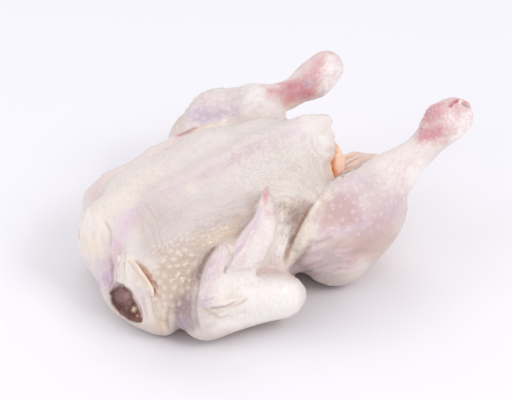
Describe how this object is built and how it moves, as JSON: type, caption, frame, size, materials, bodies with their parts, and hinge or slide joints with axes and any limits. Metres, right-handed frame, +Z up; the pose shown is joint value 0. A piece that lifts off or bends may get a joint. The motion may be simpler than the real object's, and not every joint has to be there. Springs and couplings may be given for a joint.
{
  "type": "whole raw chicken",
  "caption": "Plucked, drawn raw chicken lying on its back, breast up, with folded wings, open body cavity and drumsticks pointing back, ready for roasting or jointing.",
  "frame": {"origin": "centre of the bounding box's bottom face, on the table under the back", "axes": "+X from the neck end to the hocks, +Y to the bird's left side, +Z up through the breast"},
  "size_m": [0.2388, 0.1736, 0.1012],
  "materials": {
    "skin": "wet raw poultry skin, cream to pink, with a satin to glossy sheen"
  },
  "bodies": {
    "root": {"chicken": "skin"}
  },
  "joints": []
}
